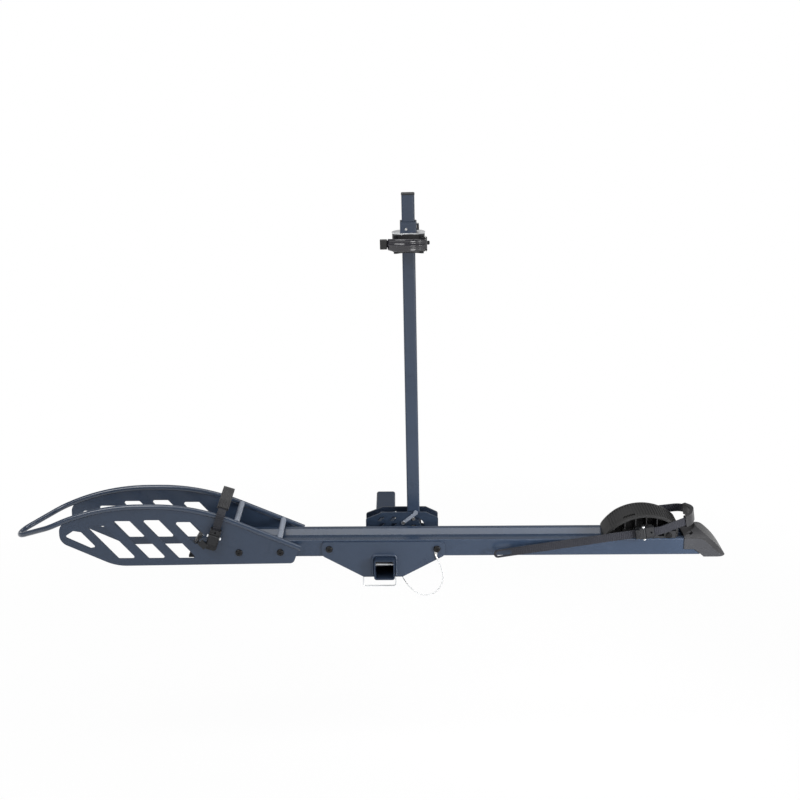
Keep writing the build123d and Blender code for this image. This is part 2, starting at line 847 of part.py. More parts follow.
def rear_strap():
    """The long strap: tail, run past the buckle, loop and end on the chock's far side."""
    points = [rear_spot(-rear_tail, -rear_tail_out), rear_spot(-60, -rear_strap_out)]
    points += [rear_spot(*corner) for corner in rear_loop]
    points.append(rear_spot(0, rear_strap_back))
    path = FilletPolyline(*points, radius=[400] + rear_loop_radii)
    strap = strap_along(path, rear_up(), strap_width, strap_thick)
    tail = Plane(origin=rear_spot(-rear_tail, -rear_tail_out), x_dir=rear_frame().x_dir, z_dir=(0, -1, 0))
    half = strap_width / 2
    finger = Pos(25, 0) * SlotOverall(38, 12)
    corners = Pos(half / 2 - 1, 0) * Rectangle(half + 2, strap_width + 4) - Pos(half, 0) * Circle(half)
    strap -= extrude(tail * (finger + corners), amount=10, both=True)
    anchor = rear_spot(rear_anchor_along, rear_strap_back)
    return strap - bar(anchor - Vector(0, 5, 0), (0, 1, 0), 10, 6)


def toward(corner, target, reach):
    """The place at a distance from a corner of the loop, on the way to another corner."""
    length = sqrt((target[0] - corner[0]) ** 2 + (target[1] - corner[1]) ** 2)
    share = reach / length
    return rear_spot(*[c + (t - c) * share for c, t in zip(corner, target)])


def corner_reach(number):
    """How far a corner's arc reaches along its two runs."""
    before, corner, after = [rear_spot(*rear_loop[number + step]) for step in (-1, 0, 1)]
    turn = radians((corner - before).get_angle(after - corner))
    return rear_loop_radii[number] * tan(turn / 2)


def rear_sleeve():
    """The rubber sleeve round the loop's outer bend."""
    start = toward(rear_loop[1], rear_loop[0], corner_reach(1) + 0.1)
    end = toward(rear_loop[3], rear_loop[2], corner_reach(3))
    middle = [rear_spot(*rear_loop[1]), rear_spot(*rear_loop[2])]
    path = FilletPolyline(start, *middle, end, radius=rear_loop_radii[1:3])
    outer = strap_along(path, rear_up(), sleeve_width, sleeve_thick)
    bore = strap_along(path, rear_up(), strap_width + 2 * fit_gap, strap_thick + 2 * fit_gap)
    return outer - bore


def rear_anchor():
    """The screw that holds the strap's end on the chock's far lug."""
    spot = rear_spot(rear_anchor_along, chock_half)
    outer = rear_strap_back + strap_thick / 2
    screw = bar(spot, (0, 1, 0), outer - chock_half, 6)
    screw += bar(spot, (0, 1, 0), rear_strap_back - strap_thick / 2 - chock_half, 12)
    return screw + bar(spot + Vector(0, outer - chock_half, 0), (0, 1, 0), 3, 12)


def on_rear(shape):
    return rear_frame().location * shape


# Ramp nose

def ramp_form(inset, low):
    """The nose's outer form, or the same form drawn in by a wall."""
    left = ramp_left + (inset if inset else 0)
    top = ramp_top - inset
    right = ramp_right - inset
    side = Polyline((right, low), (left, low), (left, ramp_edge + 3 - inset), (ramp_peak_x, top))
    middle = (ramp_peak_x + 0.6 * (right - ramp_peak_x), top * 0.5)
    front = ThreePointArc((ramp_peak_x, top), middle, (right, low))
    profile = slab(make_face(side + front), tray_width, 2 * tray_width)
    half = tray_half + ramp_side - inset
    edge = ramp_edge - inset
    sides = Polyline((half, edge), (half, low), (-half, low), (-half, edge))
    crown = ThreePointArc((-half, edge), (0, top), (half, edge))
    length = ramp_right - ramp_left + 30
    section = extrude(along_tray(ramp_left - 10) * make_face(sides + crown), amount=length)
    corner = rounded(
        [(ramp_left - 20, -half), (right, -half), (right, half), (ramp_left - 20, half)],
        [0, 22, 22, 0],
    )
    plan = extrude(Plane(origin=place(0, 0, low)) * corner, amount=120)
    return profile & section & plan


def ramp_seam():
    """The part of space above the joint between dome and skirt."""
    line = FilletPolyline(
        (ramp_left - 10, ramp_edge - 2),
        (ramp_peak_x + 10, ramp_edge - 2),
        (ramp_right - 8, ramp_low),
        (ramp_right - 8, ramp_low - 20),
        radius=[40, 0],
    )
    far = ramp_right + 20
    back = Polyline(line @ 1, (far, ramp_low - 20), (far, 100), (ramp_left - 10, 100), line @ 0)
    return slab(make_face(line + back), tray_width, 2 * tray_width)


def ramp_shell():
    """The hollow nose over the tray's end."""
    shell = ramp_form(0, ramp_low) - ramp_form(ramp_wall, ramp_low - 20)
    bridge = block(ramp_left, tray_right + 3, -tray_half, tray_half, tray_height, ramp_top)
    bridge &= ramp_form(0, ramp_low)
    shell += bridge
    inside = tray_half + fit_gap
    shell -= block(ramp_left - 20, tray_right + fit_gap, -inside, inside, ramp_low - 1, tray_height + fit_gap)
    return shell


def ramp_screw_holes(size):
    holes = []
    for across in (-ramp_screw_across, ramp_screw_across):
        holes.append(bar(place(ramp_screw_x, across, tray_floor), (0, 0, 1), 60, size))
    return holes


def ramp_dome(shell):
    """The upper cover, with a recess for each screw."""
    dome = shell & ramp_seam()
    for hole in ramp_screw_holes(5.4):
        dome -= hole
    for across in (-ramp_screw_across, ramp_screw_across):
        dome -= bar(place(ramp_screw_x, across, tray_height + 3), (0, 0, 1), 40, 12)
    return dome


def ramp_skirt(shell):
    """The lower skirt, which wraps the tray's sides and end."""
    flap = rounded(
        [
            (ramp_left - 20, ramp_low - 20),
            (ramp_left - 20, 14.5),
            (757, 14.5),
            (781, ramp_low - 1),
            (781, ramp_low - 20),
        ],
        [0, 0, 10, 0, 0],
    )
    return shell - ramp_seam() - slab(flap, tray_width, 2 * tray_width)


def ramp_screws():
    screws = []
    for across in (-ramp_screw_across, ramp_screw_across):
        shank = bar(place(ramp_screw_x, across, tray_height - 8), (0, 0, 1), 11, 5)
        head = bar(place(ramp_screw_x, across, tray_height + 3), (0, 0, 1), 3, 9.5)
        head = fillet(head.edges().group_by(Axis.Z)[-1], 1.5)
        screws.append(shank + head)
    return Compound(children=screws)


# Mast bracket

def slanted_opening(x, up):
    """One of the bracket's small slanted openings."""
    points = [(x - 10, up - 5.5), (x - 1, up + 5.5), (x + 10, up + 5.5), (x + 1, up - 5.5)]
    return rounded(points, [1.5] * 4)


def lock_slot():
    """The curved slot in which the mast's lock pin swings down as the mast folds."""
    width = lock_pin_size + 2 * fit_gap
    outer = Circle(lock_radius + width / 2) - Circle(lock_radius - width / 2)
    over = degrees(asin((lock_pin_size / 2 + 2 * fit_gap) / lock_radius))
    wedge = Polyline(
        (0, 0),
        (-80 * tan(radians(over + mast_lean)), 80),
        (80, 80),
        (80, -80 * tan(radians(over - mast_lean))),
        close=True,
    )
    return Pos(mast_x, mast_pivot_up) * (outer & make_face(wedge))


def mast_plate(far):
    """One of the two bracket plates that straddle the spine and hold the mast."""
    points = [
        (bracket_left, bracket_shoulder),
        (bracket_left + 43, bracket_top),
        (bracket_right - 31, bracket_top),
        (bracket_right, bracket_shoulder + 2),
        (bracket_right, 6),
        (62, -bracket_drop),
        (bracket_left, -bracket_drop),
    ]
    outline = rounded(points, [5, 6, 6, 5, 12, 12, 4]) - spine_notch(bracket_drop, weld_gap) - lock_slot()
    for x in (-10, 21):
        for up in (41.5, 24.5):
            outline -= slanted_opening(x, up)
    plate = slab(outline, far, plate_thick)
    plate -= cross_pin(mast_x, mast_pivot_up, far - plate_thick, far, pivot_size + 2 * bolt_clearance)
    return plate


def bracket_spacers():
    """The two welded sleeves between the bracket plates."""
    near = bracket_near + plate_thick
    far = bracket_far - plate_thick
    sleeves = []
    for x, up in ((100, -20), (-36, 8)):
        sleeves.append(cross_pin(x, up, near, far, 16) - cross_pin(x, up, near, far, 9))
    return Compound(children=sleeves)


def mast_pivot_bolt():
    return button_bolt(mast_x, mast_pivot_up, bracket_near, bracket_far + nut_height + 3, pivot_size)


def mast_pivot_nut():
    return nut(mast_x, mast_pivot_up, bracket_far, pivot_size, flats=20)


def mast_lock_lever():
    """The flat lever on the near plate whose edge lies over the lock pin."""
    middle = bracket_near - fit_gap
    centre = Location(upright(middle)) * Pos(lever_pivot_x, lever_pivot_up) * Rot(0, 0, lever_rise)
    shape = Pos(lever_length / 2 - 2, 0) * SlotOverall(lever_length + lever_width, lever_width)
    shape += Pos(lever_length - 1, 1.5) * Circle(lever_width * 0.72)
    lever = extrude(centre * shape, amount=lever_thick)
    return lever - cross_pin(lever_pivot_x, lever_pivot_up, middle - 5, middle + 5, 5 + 2 * pin_running)


def lever_rivet():
    """The rivet that the lock lever turns on."""
    face = bracket_near
    out = face - fit_gap - lever_thick - 0.2
    rivet = cross_pin(lever_pivot_x, lever_pivot_up, out, face, 5)
    return rivet + cross_pin(lever_pivot_x, lever_pivot_up, out - 2, out, 8.5)


# Mast, drawn upright with its pivot at the origin, then leaned

def lean_mast(shape):
    """Puts a piece drawn about the mast's pivot in its place on the rack."""
    return Pos(*place(mast_x, mast_across, mast_pivot_up)) * Rot(0, -mast_lean, 0) * shape


def mast_bar(rise, length, size):
    """A round bar through the mast, in the direction across the tray."""
    return Pos(0, 0, rise) * Rot(90, 0, 0) * Cylinder(size / 2, length)


def square_tube(low, high, size, hole, corner):
    """An upright square tube between two heights."""
    section = RectangleRounded(size, size, corner) - RectangleRounded(hole, hole, max(corner - 1.5, 0.5))
    return extrude(Pos(0, 0, low) * section, amount=high - low)


def mast_tube():
    tube = square_tube(-mast_foot, mast_length, mast_size, mast_size - 2 * mast_wall, 4)
    tube -= mast_bar(0, 2 * mast_size, bush_size)
    return tube - mast_bar(lock_radius, 2 * mast_size, lock_pin_size)


def mast_cap():
    """The moulded cap in the mast's top."""
    top = Pos(0, 0, mast_length) * RectangleRounded(mast_size + 1, mast_size + 1, 4.5)
    cap = extrude(top, amount=mast_cap_height)
    cap = fillet(cap.edges().group_by(Axis.Z)[-1], 1.5)
    inner = mast_size - 2 * (mast_wall + fit_gap)
    return cap + extrude(Pos(0, 0, mast_length) * RectangleRounded(inner, inner, 2), amount=-15)


def mast_bush():
    """The steel bush that turns on the pivot bolt."""
    bush = mast_bar(0, bracket_gap - 2 * fit_gap, bush_size)
    return bush - mast_bar(0, bracket_gap, pivot_size + 2 * pin_running)


def mast_washers():
    """The two thrust washers between the mast and the bracket plates."""
    room = (bracket_gap - mast_size) / 2 - fit_gap
    washers = []
    for side in (-1, 1):
        ring = Rot(90, 0, 0) * (Cylinder(11, room) - Cylinder(bush_size / 2, room))
        washers.append(Pos(0, side * (mast_size / 2 + room / 2), 0) * ring)
    return Compound(children=washers)


def mast_lock_pin():
    """The pin through the mast that runs in the curved slots of both plates."""
    length = bracket_gap + 2 * plate_thick + 7
    return mast_bar(lock_radius, length, lock_pin_size)


# Carriage on the mast, drawn upright about the mast's axis

def collar():
    """The square collar with its two latch ears."""
    body = square_tube(collar_low, collar_low + collar_height, collar_bore + 2 * collar_wall, collar_bore, 4)
    for rise in (6, 18):
        body += Pos(latch_x - 1.5, 0, collar_low + rise) * Box(8, 8, 3)
    return body - Pos(latch_x, 0, collar_low + 12) * Cylinder(latch_pin_size / 2, 30)


def collar_liner():
    """The thin plastic sleeve between the collar and the mast."""
    return square_tube(collar_low, collar_low + collar_height, collar_bore, mast_size + 2 * slide_gap, 3)


def collar_latch():
    """The thin lever on the collar's right side that tightens it."""
    hub = Pos(latch_x, 0, collar_low + 12) * Cylinder(2.4, 8.4)
    blade = Pos(latch_x + 1.7, -12, collar_low + 12) * Box(1.8, 28, 8.4)
    blade = fillet(blade.edges().filter_by(Axis.X), 2.5)
    return hub + blade - Pos(latch_x, 0, collar_low + 12) * Cylinder(latch_pin_size / 2 + pin_running, 30)


def latch_pin():
    """The latch's pin, and the bright button on the collar's front."""
    pin = Pos(latch_x, 0, collar_low + 12) * Cylinder(latch_pin_size / 2, 16)
    pin += Pos(latch_x, 0, collar_low + 20.3) * Cylinder(2.2, 1.6)
    front = -collar_bore / 2 - collar_wall
    button = Pos(-5.5, front - 1, collar_low + 9) * Rot(90, 0, 0) * Cylinder(3, 2)
    return Compound(children=[pin, fillet(button.edges().group_by(Axis.Y)[0], 1)])


def clamp_ring():
    """The bright round plate between the collar and the cradle."""
    hole = mast_size + 2 * slide_gap + 1
    face = Circle(ring_radius) - RectangleRounded(hole, hole, 4) - Pos(0, -72) * Circle(44)
    return extrude(Pos(0, 0, carriage_rise + cradle_height) * face, amount=ring_thick)


def cradle_outline():
    """The cradle from above, before it is hollowed for the frame tube and the mast."""
    front = frame_pin_out - 6
    return Circle(cradle_radius) + Pos(0, -front / 2 - 8) * Rectangle(72, front - 16)


def clamp_cradle():
    """The moulded body that the bicycle's frame tube is strapped against."""
    hole = mast_size + 2 * slide_gap
    outline = cradle_outline() - Pos(0, -72) * Circle(44) - RectangleRounded(hole, hole, 4)
    body = extrude(Pos(0, 0, carriage_rise) * outline, amount=cradle_height)
    for rise in (frame_lever_rise - 16, frame_lever_rise + 12.6):
        ear = Pos(frame_pin_x - 7, -frame_pin_out + 8) * Rectangle(12, 22)
        ear += Pos(frame_pin_x, -frame_pin_out) * Circle(4.5)
        body += extrude(Pos(0, 0, carriage_rise + rise) * ear, amount=3.4)
    web = Pos(30.5, -41) * Rectangle(7, 14) & Circle(frame_strap_radius - strap_thick / 2)
    body += extrude(Pos(0, 0, carriage_rise + frame_lever_rise - 16) * web, amount=32)
    pin = Pos(frame_pin_x, -frame_pin_out, carriage_rise + 20) * Cylinder(ratchet_pin / 2, 60)
    return body - pin


def cradle_pad():
    """The rubber lining in the cradle's hollow face."""
    arc = Pos(0, -72) * (Circle(43.7) - Circle(41.2))
    keep = Pos(0, -30) * Rectangle(52, 24)
    return extrude(Pos(0, 0, carriage_rise + 2) * (arc & keep), amount=cradle_height - 4)


def frame_arc(radius, start, end):
    """An arc round the mast's axis in plan, angles from straight ahead."""
    points = []
    for turn in (start, (start + end) / 2, end):
        points.append((radius * sin(radians(turn)), -radius * cos(radians(turn))))
    return ThreePointArc(*points)


def arc_band(radius, thick, start, end, low, high):
    """A curved upright band round the mast's axis."""
    outer = frame_arc(radius + thick / 2, start, end)
    inner = frame_arc(radius - thick / 2, start, end)
    ends = Line(outer @ 0, inner @ 0) + Line(outer @ 1, inner @ 1)
    return extrude(Pos(0, 0, low) * make_face(outer + inner + ends), amount=high - low)


def frame_strap():
    """The strap that goes round the bicycle's frame tube."""
    low = carriage_rise + frame_lever_rise - frame_strap_width / 2
    return arc_band(frame_strap_radius, strap_thick, -48, 34, low, low + frame_strap_width)


def frame_block():
    """The block that holds the strap's left end on the cradle."""
    low = carriage_rise + frame_lever_rise - 11
    block_out = Pos(-60.5, -42, low + 11) * Box(17, 18, 22)
    block_out = fillet(block_out.edges().filter_by(Axis.Z), 3)
    block_out += Pos(-43, -37, low + 11) * Box(22, 8, 16)
    strap_room = arc_band(frame_strap_radius, strap_thick, -48, 0, low - 5, low + 40)
    return block_out - strap_room - extrude(Pos(0, 0, carriage_rise) * cradle_outline(), amount=cradle_height)


def frame_lever():
    """The long curved lever that tightens the frame strap, turning on the right-hand pin."""
    middle = carriage_rise + frame_lever_rise
    half = frame_lever_height / 2
    inner = frame_strap_radius + strap_thick / 2 + 0.8
    lever = arc_band(inner + 3.5, 7, -47, 39, middle - half + 1, middle + half - 1)
    lever += arc_band(inner + 5.5, 5, -42, 37, middle - 6, middle + 6)
    hub = Pos(frame_pin_x, -frame_pin_out, middle) * Cylinder(4.5, frame_lever_height - 1.2)
    lever += hub
    return lever - Pos(frame_pin_x, -frame_pin_out, middle) * Cylinder(ratchet_pin / 2 + pin_running, 60)


def frame_lever_pin():
    pin = Pos(frame_pin_x, -frame_pin_out, carriage_rise + frame_lever_rise) * Cylinder(ratchet_pin / 2, 36)
    for rise in (frame_lever_rise - 17, frame_lever_rise + 17):
        pin += Pos(frame_pin_x, -frame_pin_out, carriage_rise + rise) * Cylinder(3.2, 2)
    return pin


# Accessory pin and lanyard

def accessory_pin():
    length = accessory_tip - accessory_head_left
    pin = bar(place(accessory_head_left, accessory_across, pin_up), (1, 0, 0), length, accessory_pin_size)
    pin = chamfer(pin.edges().group_by(Axis.X)[-1], 1.5)
    head_length = accessory_head_right - accessory_head_left
    start = place(accessory_head_left, accessory_across, pin_up)
    head = bar(start, (1, 0, 0), head_length, accessory_head_size)
    pin += head
    near, far = accessory_across - 20, accessory_across + 20
    return pin - cross_pin(bail_left, pin_up, near, far, bail_wire + 2 * pin_running)


def pin_bail():
    """The square spring wire that hangs below the spine and clips under the pin's tip."""
    clip = pin_up - accessory_pin_size / 2 - bail_wire / 2 - 2 * fit_gap
    points = [
        place(bail_left, accessory_across + 8.5, pin_up),
        place(bail_left, bail_plane, pin_up),
        place(bail_left, bail_plane, bail_low),
        place(bail_right, bail_plane, bail_low),
        place(bail_right, bail_plane, clip),
        place(bail_right, accessory_across + 6, clip),
    ]
    bends = [bail_hook, bail_corner, bail_corner, bail_hook]
    return rod_along(FilletPolyline(*points, radius=bends), bail_wire)


def lanyard_points():
    return [place(*point) for point in lanyard_route]


def lanyard_radii():
    """Each bend as wide as the shorter of its two runs allows."""
    points = lanyard_points()
    radii = []
    for before, here, after in zip(points, points[1:], points[2:]):
        turn = radians((here - before).get_angle(after - here))
        shorter = min((here - before).length, (after - here).length)
        radii.append(0.45 * shorter / tan(turn / 2))
    return radii


def lanyard():
    path = FilletPolyline(*lanyard_points(), radius=lanyard_radii())
    cable = rod_along(path, cable_size)
    ideal = pi * cable_size**2 / 4 * path.length
    print("lanyard length", round(path.length, 1), "radii", [round(r, 1) for r in lanyard_radii()])
    print("lanyard volume", round(cable.volume, 2), "section times length", round(ideal, 2))
    return cable


def lanyard_eyes():
    """The two crimped eyes: one under the saddle bolt's head, one round the accessory pin."""
    points = lanyard_points()
    up = points[-1] - points[-2]
    bolt_crimp = bar(points[-1], up.normalized(), crimp_length, crimp_size)
    face = -saddle_face
    ring = cross_pin(saddle_bolt_right, saddle_bolt_up, face - eye_thick, face, 16)
    neck = block(saddle_bolt_right - 6, saddle_bolt_right + 1, face - eye_thick, face, 5, saddle_bolt_up)
    eye = ring + neck + bolt_crimp
    eye -= cross_pin(saddle_bolt_right, saddle_bolt_up, face - 10, face, bolt_size + 2 * bolt_clearance)
    eye -= cross_pin(saddle_bolt_right, saddle_bolt_up, face - 10, face - eye_thick, head_size + 2 * fit_gap)
    eye -= block(saddle_bolt_right - 20, saddle_bolt_right + 20, face, face + 20, -30, 40)
    out = points[0] - points[1]
    pin_crimp = bar(points[0], out.normalized(), 8, 3.6)
    x = lanyard_route[0][0]
    loop = bar(place(x - 1, accessory_across, pin_up), (1, 0, 0), 2, 17)
    arm = place(x, accessory_across, pin_up)
    reach = points[0] - arm
    strut = bar(arm, reach.normalized(), reach.length - 6, 2)
    pin_eye = loop + strut + pin_crimp - bar(place(x - 10, accessory_across, pin_up), (1, 0, 0), 20, 10.6)
    return Compound(children=[eye, pin_eye])


# Build and export

hoop = wheel_hoop()
ramp = ramp_shell()
parts = {
    "spine_tube": spine_tube(),
    "spine_plug": spine_plug(),
    "saddle_plate_near": saddle_plate(-tray_half),
    "saddle_plate_far": saddle_plate(saddle_face),
    "saddle_bolts": saddle_bolts(),
    "saddle_nuts": saddle_nuts(),
    "tray_channel": tray_channel(),
    "tray_end_cap": tray_end_cap(),
    "ramp_dome": ramp_dome(ramp),
    "ramp_skirt": ramp_skirt(ramp),
    "ramp_screws": ramp_screws(),
    "wheel_hoop": hoop,
    "wheel_plate_near": wheel_plate(-1, hoop),
    "wheel_plate_far": wheel_plate(1, hoop),
    "cross_bars": cross_bars(hoop),
    "plate_spacers": plate_spacers(),
    "plate_bolts": plate_bolts(),
    "plate_nuts": plate_nuts(),
    "front_strap": front_strap(),
    "front_sleeve": front_sleeve(),
    "front_buckle": on_front(ratchet_base(front_base_length, front_pin_along)),
    "front_lever": on_front(ratchet_lever(front_base_length - 8, front_pin_along, True)),
    "front_lever_pin": on_front(ratchet_axle(front_pin_along)),
    "front_anchors": front_anchors(),
    "chock": chock(),
    "chock_clamp": chock_clamp(),
    "chock_screw": chock_screw(),
    "rear_strap": rear_strap(),
    "rear_sleeve": rear_sleeve(),
    "rear_buckle": on_rear(ratchet_base(rear_base_length, rear_pin_along)),
    "rear_lever": on_rear(ratchet_lever(rear_base_length, rear_pin_along, False)),
    "rear_lever_pin": on_rear(ratchet_axle(rear_pin_along)),
    "rear_anchor": rear_anchor(),
    "mast_plate_near": mast_plate(bracket_near + plate_thick),
    "mast_plate_far": mast_plate(bracket_far),
    "bracket_spacers": bracket_spacers(),
    "mast_pivot_bolt": mast_pivot_bolt(),
    "mast_pivot_nut": mast_pivot_nut(),
    "mast_lock_lever": mast_lock_lever(),
    "lever_rivet": lever_rivet(),
    "mast_tube": lean_mast(mast_tube()),
    "mast_cap": lean_mast(mast_cap()),
    "mast_bush": lean_mast(mast_bush()),
    "mast_washers": lean_mast(mast_washers()),
    "mast_lock_pin": lean_mast(mast_lock_pin()),
    "collar": lean_mast(collar()),
    "collar_liner": lean_mast(collar_liner()),
    "collar_latch": lean_mast(collar_latch()),
    "latch_pin": lean_mast(latch_pin()),
    "clamp_ring": lean_mast(clamp_ring()),
    "clamp_cradle": lean_mast(clamp_cradle()),
    "cradle_pad": lean_mast(cradle_pad()),
    "frame_strap": lean_mast(frame_strap()),
    "frame_block": lean_mast(frame_block()),
    "frame_lever": lean_mast(frame_lever()),
    "frame_lever_pin": lean_mast(frame_lever_pin()),
    "accessory_pin": accessory_pin(),
    "pin_bail": pin_bail(),
    "lanyard": lanyard(),
    "lanyard_eyes": lanyard_eyes(),
}

for name, shape in parts.items():
    export_step(shape, f"parts/{name}.step")
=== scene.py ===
import bmesh
import bpy
from math import cos, pi, radians, sin
from mathutils import Matrix, Vector
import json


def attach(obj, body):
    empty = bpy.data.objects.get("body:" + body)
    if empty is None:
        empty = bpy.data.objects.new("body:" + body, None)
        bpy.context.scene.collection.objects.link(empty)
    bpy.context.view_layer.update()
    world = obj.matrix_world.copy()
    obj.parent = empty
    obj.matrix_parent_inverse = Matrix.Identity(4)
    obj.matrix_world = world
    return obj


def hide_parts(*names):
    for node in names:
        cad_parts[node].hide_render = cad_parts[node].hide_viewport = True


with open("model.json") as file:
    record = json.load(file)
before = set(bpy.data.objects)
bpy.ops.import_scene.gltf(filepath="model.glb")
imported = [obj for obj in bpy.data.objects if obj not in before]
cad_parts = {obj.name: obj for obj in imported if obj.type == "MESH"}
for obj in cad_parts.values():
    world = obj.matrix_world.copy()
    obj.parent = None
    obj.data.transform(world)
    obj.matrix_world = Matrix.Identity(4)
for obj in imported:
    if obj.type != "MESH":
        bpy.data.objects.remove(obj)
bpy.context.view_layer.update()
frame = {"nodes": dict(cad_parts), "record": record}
nodes = frame["nodes"]
scene = bpy.context.scene

# Places are given as in the solids: along the tray from the spine's axis, across the tray
# from its centre line, and up from the spine's top face, in millimetres.
PIN_TO_TRAY = 374.0
TUBE_HALF = 25.4


def place(x, across, up):
    """The point in metres of a place in millimetres."""
    return Vector((x, across - PIN_TO_TRAY, up + TUBE_HALF)) / 1000


# Camera, solved from the photograph

LENS_MM = 68.25
SENSOR_MM = 36.0
CAMERA_SPOT = (0.040, -3.899, 1.3714)
CAMERA_DOWN = 15.3  # degrees below the horizon
CAMERA_ROLL = -0.0055  # radians about the line of sight
CAMERA_REACH = 200.0  # metres, past the floor's far edge

camera_data = bpy.data.cameras.new("camera")
camera_data.lens = LENS_MM
camera_data.sensor_width = SENSOR_MM
camera_data.clip_end = CAMERA_REACH
camera = bpy.data.objects.new("camera", camera_data)
scene.collection.objects.link(camera)
tilt = Matrix.Rotation(radians(90 - CAMERA_DOWN), 4, "X") @ Matrix.Rotation(CAMERA_ROLL, 4, "Z")
camera.matrix_world = Matrix.Translation(CAMERA_SPOT) @ tilt
scene.camera = camera


# Lanyard, a coated steel cable from the saddle bolt to the accessory pin

CABLE_RADIUS = 0.001
CABLE_FACETS = 5  # as Blender's bevel resolution
CABLE_STEPS = 12  # between two control points
CABLE_ORDER = 3  # quadratic
LANYARD = [
    (31.8, -20.0, -36.0),
    (32.2, -10.0, -42.5),
    (36.0, -6.0, -55.0),
    (43.0, -16.0, -66.0),
    (50.0, -32.0, -73.0),
    (59.0, -46.0, -80.0),
    (74.0, -55.0, -92.0),
    (95.0, -59.0, -100.0),
    (118.0, -61.0, -96.0),
    (136.0, -62.0, -79.0),
    (144.5, -62.0, -54.0),
    (140.0, -60.5, -29.0),
    (129.5, -58.0, -6.0),
]


def cord_curve(name, points, radius):
    """One open NURBS curve with these control points."""
    curve = bpy.data.curves.new(name, "CURVE")
    curve.dimensions = "3D"
    curve.bevel_depth = radius
    curve.bevel_resolution = CABLE_FACETS
    curve.resolution_u = CABLE_STEPS
    curve.use_fill_caps = True
    spline = curve.splines.new("NURBS")
    spline.points.add(len(points) - 1)
    for point, spot in zip(spline.points, points):
        point.co = (*spot, 1.0)
    spline.order_u = CABLE_ORDER
    spline.use_endpoint_u = True
    piece = bpy.data.objects.new(name, curve)
    scene.collection.objects.link(piece)
    return piece


lanyard = cord_curve("lanyard_cable", [place(*p) for p in LANYARD], CABLE_RADIUS)
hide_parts("lanyard")
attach(lanyard, "rack")


# Materials. Lengths are in metres, the scales of the noises per metre.

MIX_COLOURS = (6, 7)  # the Mix node's inputs for colours
MIX_RESULT = 2  # and its output


class Graph:
    """A material's node tree with a short way to add linked nodes."""

    def __init__(self, name):
        self.material = bpy.data.materials.new(name)
        self.material.use_nodes = True
        self.tree = self.material.node_tree
        self.shader = self.tree.nodes["Principled BSDF"]
        self.spot = self.add("ShaderNodeTexCoord").outputs["Object"]

    def add(self, kind, inputs=None, **settings):
        """A node with these settings; an input's value is a socket or a constant."""
        node = self.tree.nodes.new(kind)
        for key, value in settings.items():
            setattr(node, key, value)
        for key, value in (inputs or {}).items():
            if isinstance(value, bpy.types.NodeSocket):
                self.tree.links.new(value, node.inputs[key])
            else:
                node.inputs[key].default_value = value
        return node

    def link(self, socket, name):
        self.tree.links.new(socket, self.shader.inputs[name])

    def noise(self, scale, detail, rough=0.5):
        inputs = {"Vector": self.spot, "Scale": scale, "Detail": detail, "Roughness": rough}
        return self.add("ShaderNodeTexNoise", inputs).outputs["Fac"]

    def spread(self, value, source, target):
        """The value, carried from one range to another."""
        inputs = {
            "Value": value,
            "From Min": source[0],
            "From Max": source[1],
            "To Min": target[0],
            "To Max": target[1],
        }
        return self.add("ShaderNodeMapRange", inputs).outputs["Result"]

    def math(self, operation, a, b=0.0):
        return self.add("ShaderNodeMath", {0: a, 1: b}, operation=operation).outputs[0]

    def dot(self, a, b):
        inputs = {0: a, 1: b}
        node = self.add("ShaderNodeVectorMath", inputs, operation="DOT_PRODUCT")
        return node.outputs["Value"]

    def bump(self, strength, depth, height, normal):
        inputs = {"Strength": strength, "Distance": depth, "Height": height, "Normal": normal}
        return self.add("ShaderNodeBump", inputs).outputs["Normal"]

    def mix(self, factor, *colours):
        node = self.add("ShaderNodeMix", {"Factor": factor}, data_type="RGBA")
        for number, value in zip(MIX_COLOURS, colours):
            if isinstance(value, bpy.types.NodeSocket):
                self.tree.links.new(value, node.inputs[number])
            else:
                node.inputs[number].default_value = (*value, 1.0)
        return node.outputs[MIX_RESULT]


def srgb(red, green, blue):
    """Linear colour of an sRGB value from 0 to 255."""
    out = []
    for value in (red, green, blue):
        value /= 255
        out.append(value / 12.92 if value <= 0.04045 else ((value + 0.055) / 1.055) ** 2.4)
    return tuple(out)


def scaled(colour, amount):
    return tuple(min(1.0, c * amount) for c in colour)


MIDTONES = (0.3, 0.7)  # where nearly all values of a noise lie
SPECK_RANGE = (0.56, 0.72)  # the peaks of the noise that show as specks
SPECK_SCALE = 0.35  # of the grain's scale
SPECK_SHARE = 0.35
SPECK_LIFT = 2.2  # of the mottle
EDGE_RADIUS = 0.0005
EDGE_SAMPLES = 6
EDGE_RANGE = (0.995, 0.85)  # cosines between the softened normal and the true one
# Edge colour: the base lifted by this factor plus the glint, partly wear and partly painted
# highlight
EDGE_LIFT = 1.7
EDGE_PATCH_RANGE = (0.35, 0.7)  # of the noise that makes the edges' wear and painted highlight patchy
EDGE_PATCH_SHARE = (0.2, 1.0)
FINE_ROUGHNESS = (-0.04, 0.04)
GRAIN_DEPTH = 0.0002
COAT_ROUGHNESS = 0.12


